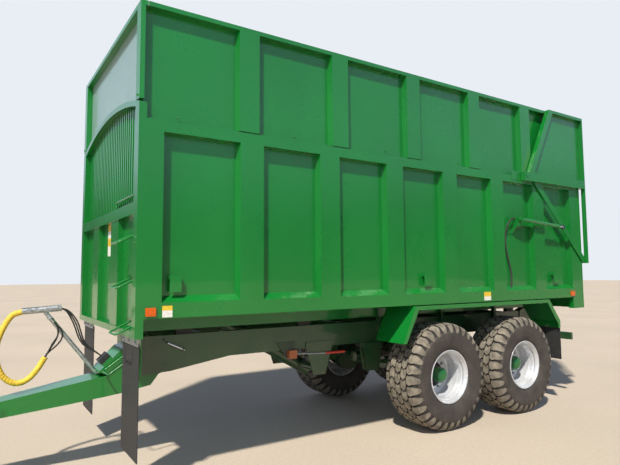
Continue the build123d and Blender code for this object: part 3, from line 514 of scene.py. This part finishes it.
def wheel_mesh(mesh):
    # Rim with its disc, hub with its cap, back of the disc and inner rim, nuts and bolts
    for line, slot in ((rim_line, silver_slot), (hub_line, hub_slot), (back_line, silver_slot),
                       (inner_line, silver_slot)):
        # The hub's foot takes dark steel: partly the hub's own dark foot, partly painted shade
        # round the hub
        slots = [hub_shade_slot if slot == hub_slot and inset > hub_shade_inset else slot
                 for inset, radius in line]
        section = [(tyre_width / 2 - inset, radius) for inset, radius in line]
        revolve(mesh, section, rim_sides, slots)
    bolt_circle(mesh, wheel_nuts, 0, nut_slot)
    bolt_circle(mesh, cap_bolts, 0.5, hub_slot)


def wheel_sets():
    # One set of meshes, placed at each tyre of the frame
    walls, blocks, rims = bmesh.new(), bmesh.new(), bmesh.new()
    carcass(walls)
    tread(blocks)
    wheel_mesh(rims)
    # (piece, its mesh, its materials, the record's slot, the node that it replaces)
    sets = (
        # The tyre's second material is the grooves' painted shade
        ("tyre_wall", walls, (wall_rubber, groove_shade_rubber), "tyre", "tyre"),
        ("tyre_tread", blocks, (tread_rubber, groove_shade_rubber), "tyre", None),
        ("wheel_rim", rims, (silver, hub_green, zinc, dark_steel), "rim_silver", "wheel"),
    )
    for mesh in (walls, blocks, rims):
        bmesh.ops.recalc_face_normals(mesh, faces=mesh.faces)
    for number, label in enumerate(wheel_labels):
        low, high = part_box(f"tyre_{label}")
        middle = (low + high) / 2
        turn = Matrix.Rotation(0 if middle.y > 0 else math.pi, 4, "Z")
        spin = Matrix.Rotation(wheel_turn * (number + 1), 4, "Y")
        for name, source, paints, slot, replaced in sets:
            made = piece(f"{name}_{label}", f"wheel_{label}", paints[0])
            for other in paints[1:]:
                made.data.materials.append(other)
            copy = source.copy()
            copy.transform(Matrix.Translation(middle) @ turn @ spin)
            copy.normal_update()
            copy.to_mesh(made.data)
            copy.free()
            if replaced:
                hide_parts(f"{replaced}_{label}")
    for mesh in (walls, blocks, rims):
        mesh.free()


wheel_sets()


# Hoses

hose_r, hose_pitch, ram_hose_r = 0.007, 0.0145, 0.011
# Routes as in the solids, in metres ahead of the headboard's face: up to the stand's guide as
# (ahead, z, spread between the hoses), the loop as (ahead, z), the tails as (ahead, y, z)
hose_rise = ((0.130, 1.105, 0.008), (0.178, 1.165, 0.016), (0.206, 1.245, 0.022),
             (0.236, 1.340, 0.022), (0.280, 1.420, 0.016), (0.325, 1.470, 0.006))
hose_loop = ((0.803, 1.405), (0.852, 1.305), (0.888, 1.190), (0.893, 1.070), (0.862, 0.945),
             (0.795, 0.855), (0.715, 0.820), (0.632, 0.846), (0.565, 0.918), (0.512, 1.005),
             (0.476, 1.075))
hose_tails = (
    ((0.427, -0.020, 1.148), (0.396, -0.027, 1.199), (0.385, -0.030, 1.242),
     (0.389, -0.030, 1.287)),
    ((0.422, 0.010, 1.121), (0.380, 0.018, 1.164), (0.357, 0.026, 1.208), (0.354, 0.030, 1.253),
     (0.370, 0.030, 1.295)),
    ((0.440, 0.028, 1.163), (0.406, 0.040, 1.212), (0.394, 0.050, 1.250), (0.395, 0.054, 1.290)),
)
park_y = (-0.033, 0.033, 0.057)
# From the ram's bracket down into the ledge, as (back from the first point, y, z)
gate_hose_points = ((0, 1.200, 2.510), (0.050, 1.200, 2.510), (0.098, 1.194, 2.482),
                    (0.130, 1.182, 2.430), (0.149, 1.170, 2.365), (0.158, 1.160, 2.290),
                    (0.157, 1.157, 2.205), (0.148, 1.156, 2.110), (0.126, 1.156, 2.020),
                    (0.097, 1.156, 1.925), (0.068, 1.158, 1.835), (0.055, 1.160, 1.750),
                    (0.064, 1.162, 1.670), (0.075, 1.162, 1.590))
gate_hose_back = 4.925
guide_rear, guide_front = at(-0.367, 0, 1.490), at(-0.700, 0, 1.470)
guide_way = (guide_front - guide_rear).normalized()
post_foot, post_top = at(-0.038, 0, 0.846), at(-0.504, 0, 1.454)
post_way = (post_top - post_foot).normalized()
# The terminal block: the drawbar's slope under it, the outlets' place along that slope (share
# of its length, then metres), the block's height, the straight lead of a hose at each end
block_low, block_high = at(-0.050, 0, 0.880), at(0.160, 0, 1.085)
outlet_share, outlet_shift = 0.24, 0.055
block_height, hose_lead = 0.050, 0.040
fan_ahead, fan_down = 0.85, 0.5  # the way in which the rising hoses spread apart
past_guide_rear, past_guide_front = 0.015, 0.045
plate_drop, coupling_length = 0.070, 0.045
# The spiral wrap: where it starts and ends, its radii, the strip's pitch and groove
sleeve_start, sleeve_end = guide_front - guide_way * 0.030, at(-0.494, 0, 1.040)
wrap_outer, wrap_inner, wrap_sides = 0.0268, 0.0222, 28
wrap_step, wrap_turn, wrap_groove, groove_width = 0.004, 0.028, 0.0036, 0.22
# A coupling from the hose up, as (rise, radius, hexagonal)
coupling_rings = ((0, 0.0080, False), (0.002, 0.0096, False), (0.014, 0.0096, False),
                  (0.015, 0.0108, True), (0.026, 0.0108, True), (0.027, 0.0088, False),
                  (0.033, 0.0088, False), (0.034, 0.0108, False), (0.042, 0.0108, False),
                  (coupling_length, 0.0098, False))
coupling_sides = 24


def service_route(k):
    # From the terminal block over the stand, round the loop and up to the coupling
    slope = (block_high - block_low).normalized()
    up = Vector((slope.z, 0, -slope.x))
    along = outlet_share * (block_high - block_low).length + outlet_shift
    leave = block_low + slope * along + up * block_height
    aside = Vector((0, k * hose_pitch, 0))
    route = [leave + aside, leave + up * hose_lead + aside]
    for ahead, z, spread in hose_rise:
        route.append(at(-ahead - fan_ahead * k * spread, k * hose_pitch,
                        z - fan_down * k * spread))
    route += [guide_rear + guide_way * past_guide_rear + aside,
              guide_front + guide_way * past_guide_front + aside]
    route += [at(-ahead, k * hose_pitch, z) for ahead, z in hose_loop]
    route += [at(-ahead, y, z) for ahead, y, z in hose_tails[k + 1]]
    end = post_top - post_way * (plate_drop + coupling_length) + Vector((0, park_y[k + 1], 0))
    return route + [end - post_way * hose_lead, end]


def hose(name, route, radius, body, node):
    # A hose along its route's control points; also gives the points of its centre line
    data = bpy.data.curves.new(name, "CURVE")
    data.dimensions = "3D"
    spline = data.splines.new("NURBS")
    spline.points.add(len(route) - 1)
    for point, place in zip(spline.points, route):
        point.co = (*place, 1)
    spline.order_u = 3
    spline.use_endpoint_u = True
    spline.resolution_u = 10
    made = bpy.data.objects.new(name, data)
    bpy.context.scene.collection.objects.link(made)
    bpy.context.view_layer.update()
    line = bpy.data.meshes.new_from_object(made)
    places = [vertex.co.copy() for vertex in line.vertices]
    bpy.data.meshes.remove(line)
    data.bevel_depth = radius
    data.bevel_resolution = 3
    data.use_fill_caps = True
    data.materials.append(black_rubber)
    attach(made, body)
    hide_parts(node)
    return made, places


def spaced(places, gap):
    # The same line with points at an even distance
    made, left = [places[0]], gap
    for a, b in zip(places, places[1:]):
        run = (b - a).length
        while run > left:
            a = a + (b - a) * (left / run)
            run -= left
            left = gap
            made.append(a)
        left -= run
    return made


def sweep_ring(mesh, line, segments, reach):
    # Sweeps a ring along a line; reach gives its radius for a point's number and an angle
    ways = [(b - a).normalized() for a, b in zip(line, line[1:])]
    ways.append(ways[-1])
    normal = ways[0].cross(Vector((0, 1, 0))).normalized()
    rings = []
    for number, (place, way) in enumerate(zip(line, ways)):
        normal = (normal - way * normal.dot(way)).normalized()
        across = way.cross(normal)
        ring = []
        for k in range(segments):
            angle = 2 * math.pi * k / segments
            out = normal * math.cos(angle) + across * math.sin(angle)
            ring.append(mesh.verts.new(place + out * reach(number, angle)))
        rings.append(ring)
    join_rings(mesh, rings, smooth=True)
    return rings


def nearest(places, target):
    # The number of the point closest to the target
    return min(range(len(places)), key=lambda k: (places[k] - target).length)


def hose_wrap(places):
    # Spiral wrap round the hoses: a flat strip with a groove between its turns
    first, last = nearest(places, sleeve_start), nearest(places, sleeve_end)
    line = spaced(places[first:last + 1], wrap_step)

    def outer(number, angle):
        phase = (number * wrap_step / wrap_turn - angle / (2 * math.pi)) % 1.0
        depth = max(0.0, 1 - abs(phase - 0.5) / groove_width) ** 1.5
        return wrap_outer - wrap_groove * depth

    mesh = bmesh.new()
    outside = sweep_ring(mesh, line, wrap_sides, outer)
    inside = sweep_ring(mesh, line, wrap_sides, lambda number, angle: wrap_inner)
    for end in (0, -1):
        join_rings(mesh, (outside[end], inside[end]))
    bmesh.ops.recalc_face_normals(mesh, faces=mesh.faces)
    made = piece("hose_wrap", "chassis", yellow)
    mesh.to_mesh(made.data)
    mesh.free()
    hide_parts("hose_sleeve")
    return made


def coupling(mesh, foot):
    # A quick coupling on the hose's end: ferrule, hexagon and collar under the parking plate
    side = Vector((0, 1, 0))
    across = post_way.cross(side)
    corner = math.pi / 6
    rings = []
    for rise, radius, hexagonal in coupling_rings:
        ring = []
        for k in range(coupling_sides):
            angle = 2 * math.pi * k / coupling_sides
            flat = math.cos(corner) / math.cos(angle % (2 * corner) - corner) if hexagonal else 1.0
            out = side * math.cos(angle) + across * math.sin(angle)
            ring.append(mesh.verts.new(foot + post_way * rise + out * radius * flat))
        rings.append(ring)
    join_rings(mesh, rings)
    mesh.faces.new(rings[0])
    mesh.faces.new(rings[-1])


def hoses():
    # Three service hoses with their couplings, and one hose to each ram of the tailgate
    for k, label in ((-1, "right"), (0, "middle"), (1, "left")):
        route = service_route(k)
        made, places = hose(f"service_hose_{label}", route, hose_r, "chassis", "service_hoses")
        fitting = small(f"hose_coupling_{label}", "chassis", chrome,
                        lambda mesh: coupling(mesh, route[-1]))
        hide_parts("hose_couplings")
        if k == 0:
            hose_wrap(places)
    for side, label in sides:
        route = [at(gate_hose_back - back, side * y, z) for back, y, z in gate_hose_points]
        made, _ = hose(f"gate_hose_{label}", route, ram_hose_r, "body", "gate_hoses")


hoses()


# Plates and bolts of the body

plate_thick, plate_corner, corner_steps = 0.0012, 0.004, 3
# Sill plates as (back, z of the middle, width, height)
sill_places = ((0.2605, 1.494, 0.085, 0.094), (4.3005, 1.5075, 0.129, 0.103))
front_place, front_size = at(0.062, -0.035, 2.145), (0.125, 0.32)
flap_bolt_back, flap_bolt_z, flap_bolt_y = 0.040, 1.247, (0.70, 0.90, 1.09)
# Bolts of the extension's foot: the first post, the posts' pitch and count, the height
foot_back, foot_pitch, foot_count, foot_z = 0.326, 1.17, 5, 3.128
front_bolt_y, front_bolt_z = 1.165, 3.288
flap_bolt, foot_bolt = (0.011, 0.010), (0.010, 0.009)


def plate(mesh, middle, right, width, height):
    # An upright plate with rounded corners and a bevelled edge, its back on the given middle
    right, up = Vector(right), Vector((0, 0, 1))
    out = right.cross(up)
    rings = []
    for rise, inset in ((0, 0), (plate_thick * 0.7, 0), (plate_thick, plate_thick * 0.4)):
        ring = []
        for k, (a, b) in enumerate(((1, 1), (-1, 1), (-1, -1), (1, -1))):
            for part_turn in range(corner_steps + 1):
                angle = math.pi / 2 * (k + part_turn / corner_steps)
                x = a * (width / 2 - plate_corner) + (plate_corner - inset) * math.cos(angle)
                z = b * (height / 2 - plate_corner) + (plate_corner - inset) * math.sin(angle)
                ring.append(mesh.verts.new(middle + right * x + up * z + out * rise))
        rings.append(ring)
    join_rings(mesh, rings)
    mesh.faces.new(rings[-1])


def sill_plates(mesh):
    # Blank plates on the sill
    for back, z, width, height in sill_places:
        plate(mesh, at(back, side_y, z), (-1, 0, 0), width, height)


def front_plate_shape(mesh):
    # A blank plate on the headboard
    plate(mesh, front_place, (0, 1, 0), *front_size)


def flap_bolts(mesh):
    # Through the rubber flaps' angles
    for side, _ in sides:
        for y in flap_bolt_y:
            hex_nut(mesh, at(flap_bolt_back, side * y, flap_bolt_z), flap_bolt, 0.3, (1, 0, 0))


def extension_bolts(mesh):
    # Along the extension's foot, over the grain rail, and one at each front corner
    for side, _ in sides:
        for number in range(foot_count):
            place = at(foot_back + foot_pitch * number, side * side_y, foot_z)
            hex_nut(mesh, place, foot_bolt, 0.2, (0, side, 0))
        hex_nut(mesh, at(0, side * front_bolt_y, front_bolt_z), foot_bolt, 0.4, (1, 0, 0))


small("sill_plates", "body", sill_plate, sill_plates)
small("front_plate", "body", front_plate, front_plate_shape)
small("flap_bolts", "body", zinc, flap_bolts)
small("extension_bolts", "body", green, extension_bolts)


# Turned fittings: the valve on the chassis rail, the pins of the tailgate

# The valve on the rail's side: its pivot and the lever's two ends as (back, z)
valve_pivot, lever_foot, lever_knob = (0.51, 1.143), (0.50, 1.148), (0.67, 1.066)
valve_depth, lever_out, knob_out = 0.040, 0.030, 0.036
valve_profile = ((0, 0.026), (0.3, 0.026), (0.32, 0.020), (0.9, 0.020), (1.0, 0.014))
lever_profile = ((0, 0.008), (0.02, 0.010), (0.86, 0.010), (0.88, 0.012), (0.90, 0.018),
                 (0.94, 0.022), (0.97, 0.020), (1.0, 0.010))
valve_bolts, valve_bolt = ((0.478, 1.175), (0.545, 1.112)), (0.009, 0.008)
# The tailgate's pins as in the solids, (back, z)
barrel_pin, rod_pin, pivot_pin = (4.975, 2.500), (5.920, 2.437), (5.120, 3.110)
pivot_cap_y = 1.290  # outer face of the pivot's cap


def turned(mesh, start, end, profile, segments=16):
    # A turned piece between two points, from (share of the way, radius)
    line = [start.lerp(end, share) for share, radius in profile]
    rings = sweep_ring(mesh, line, segments, lambda number, angle: profile[number][1])
    mesh.faces.new(rings[0])
    mesh.faces.new(rings[-1])


def valve_lever(mesh):
    # A short lever with a ball end
    start = at(lever_foot[0], rail_side + lever_out, lever_foot[1])
    end = at(lever_knob[0], rail_side + knob_out, lever_knob[1])
    turned(mesh, start, end, lever_profile)


def valve_body(mesh):
    # The block that the lever turns in, bolted to the rail
    back, z = valve_pivot
    turned(mesh, at(back, rail_side, z), at(back, rail_side + valve_depth, z), valve_profile)
    for back, z in valve_bolts:
        hex_nut(mesh, at(back, rail_side, z), valve_bolt, 0.2)


def pin_head(mesh, place, side, radius, height):
    # A pin's turned head with a smaller boss, standing outward on the place
    way = Vector((0, side, 0))
    shoulder = place + way * height * 0.7
    head = ((0, radius), (0.7, radius), (1.0, radius * 0.86))
    boss = ((0, radius * 0.4), (0.7, radius * 0.4), (1.0, radius * 0.3))
    turned(mesh, place - way * 0.002, shoulder, head, 24)
    turned(mesh, shoulder - way * 0.001, place + way * height, boss, 12)


def outer_y(node):
    # How far a node reaches from the middle plane
    return max(abs(corner.y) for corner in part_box(node))


def tailgate_pins(side, label):
    # Pins at both ends of a tailgate ram, and the tailgate's pivot above it
    barrel_y = outer_y(f"gate_barrel_{label}") - 0.016  # the face of the barrel's eye
    for name, body, (back, z), y, radius, height in (
            ("barrel_pin", f"ram_barrel_{label}", barrel_pin, barrel_y, 0.022, 0.015),
            ("rod_pin", f"ram_rod_{label}", rod_pin, outer_y(f"gate_rod_{label}"), 0.020, 0.005),
            ("pivot_pin", "body", pivot_pin, pivot_cap_y, 0.026, 0.0018)):
        small(f"{name}_{label}", body, zinc,
              lambda mesh: pin_head(mesh, at(back, side * y, z), side, radius, height))


for side, label in sides:
    tailgate_pins(side, label)

small("valve_lever", "chassis", chrome, valve_lever)
small("valve_body", "chassis", dark_steel, valve_body)


# Stage: floor, light, camera

# The light's bands from the horizon up, as (sine of the height, colour)
sky_bands = ((0.08, (0.10, 0.13, 0.10, 1)), (0.22, (1.5, 1.62, 1.74, 1)),
             (0.42, (1.26, 1.38, 1.56, 1)), (0.75, (0.15, 0.18, 0.23, 1)))
sky_strength = 0.48
right_tint, left_tint, tint_edge = (0.95, 1.02, 1.22, 1), (0.75, 0.9, 1.15, 1), 0.4
backdrop_shade = srgb(233, 238, 245)
floor_half = 120
# The photo's camera: where it stands, its angles in degrees, its lens in mm
camera_place = (3.585, 5.486, 1.792)
camera_angles = (-123.167, 4.574, -0.368)
camera_lens, sensor_width, farthest = 30.34, 36, 400


def floor_piece():
    # A plain pale floor, faintly mottled
    made = Finish("pale_floor")
    cloud = made.span(made.noise(0.35, 6), 0.3, 0.7)
    grain = made.span(made.noise(30, 5), 0.35, 0.7, 0.0, 0.3)
    base = made.mix(cloud, srgb(196, 181, 162), srgb(184, 171, 154))
    made.colour(made.mix(grain, base, srgb(160, 148, 132)))
    made.rough(made.span(made.noise(12, 4), 0.3, 0.7, 0.75, 0.92))
    made.bump(made.noise(60, 4), 0.002)
    mesh = bmesh.new()
    bmesh.ops.create_grid(mesh, x_segments=8, y_segments=8, size=floor_half)
    flat = bpy.data.objects.new("floor_stage", bpy.data.meshes.new("floor_stage"))
    bpy.context.scene.collection.objects.link(flat)
    mesh.to_mesh(flat.data)
    mesh.free()
    flat.data.materials.append(made.material)


def sky():
    # Soft light from above, dim near the horizon; a plain pale backdrop for the camera alone
    world = bpy.data.worlds.new("studio")
    bpy.context.scene.world = world
    world.use_nodes = True
    tree = world.node_tree
    tree.nodes.clear()
    out, blend, seen, light, backdrop, way, split, ramp, across, tint, product = (
        tree.nodes.new(f"ShaderNode{kind}") for kind in (
            "OutputWorld", "MixShader", "LightPath", "Background", "Background", "TexCoord",
            "SeparateXYZ", "ValToRGB", "MapRange", "Mix", "Mix"))
    # Bands of light by height
    ramp.color_ramp.interpolation = "EASE"
    for k, (rise, shade) in enumerate(sky_bands):
        band = ramp.color_ramp.elements[k] if k < 2 else ramp.color_ramp.elements.new(rise)
        band.position, band.color = rise, shade
    # Their tint from the trailer's right to its left
    across.inputs["From Min"].default_value = -tint_edge
    across.inputs["From Max"].default_value = tint_edge
    tint.data_type = product.data_type = "RGBA"
    tint.inputs[6].default_value, tint.inputs[7].default_value = right_tint, left_tint
    product.blend_type = "MULTIPLY"
    product.inputs[0].default_value = 1.0
    light.inputs["Strength"].default_value = sky_strength
    backdrop.inputs["Color"].default_value = backdrop_shade
    backdrop.inputs["Strength"].default_value = 1.0
    for source, target in (
            (way.outputs["Generated"], split.inputs[0]), (split.outputs["Z"], ramp.inputs[0]),
            (split.outputs["Y"], across.inputs["Value"]),
            (across.outputs["Result"], tint.inputs[0]),
            (ramp.outputs[0], product.inputs[6]), (tint.outputs[2], product.inputs[7]),
            (product.outputs[2], light.inputs["Color"]),
            (seen.outputs["Is Camera Ray"], blend.inputs[0]),
            (light.outputs[0], blend.inputs[1]), (backdrop.outputs[0], blend.inputs[2]),
            (blend.outputs[0], out.inputs[0])):
        tree.links.new(source, target)


def lamp(name, kind, place, aim, size, power, colour):
    # A sun's size is the angle that it is seen under, an area's its side in metres
    data = bpy.data.lights.new(name, kind)
    if kind == "SUN":
        data.angle = size
    else:
        data.size = size
    data.energy = power
    data.color = colour
    made = bpy.data.objects.new(name, data)
    bpy.context.scene.collection.objects.link(made)
    made.location = place
    made.rotation_euler = (Vector(aim) - Vector(place)).to_track_quat("-Z", "Y").to_euler()


def camera():
    # The photo's camera: yaw and pitch give its line of sight, roll turns it about that line
    yaw, pitch, roll = map(math.radians, camera_angles)
    level = Vector((math.cos(yaw), math.sin(yaw), 0))
    ahead = level * math.cos(pitch) + Vector((0, 0, math.sin(pitch)))
    right = ahead.cross(Vector((0, 0, 1))).normalized()
    up = right.cross(ahead)
    side = right * math.cos(roll) + up * math.sin(roll)
    top = up * math.cos(roll) - right * math.sin(roll)
    data = bpy.data.cameras.new("camera")
    data.sensor_width = sensor_width
    data.lens = camera_lens
    data.clip_end = farthest
    made = bpy.data.objects.new("camera", data)
    bpy.context.scene.collection.objects.link(made)
    turn = Matrix((side, top, -ahead)).transposed().to_4x4()
    made.matrix_world = Matrix.Translation(camera_place) @ turn
    bpy.context.scene.camera = made


floor_piece()
sky()
lamp("key", "SUN", (6.2, 5.2, 10), (0, 0, 0), math.radians(2.5), 5.5, (1.0, 0.95, 0.86))
lamp("fill", "AREA", (10, 8, 5), (0, 0, 2), 6, 200, (0.92, 0.96, 1.0))
camera()
bpy.context.scene.view_settings.view_transform = "Standard"
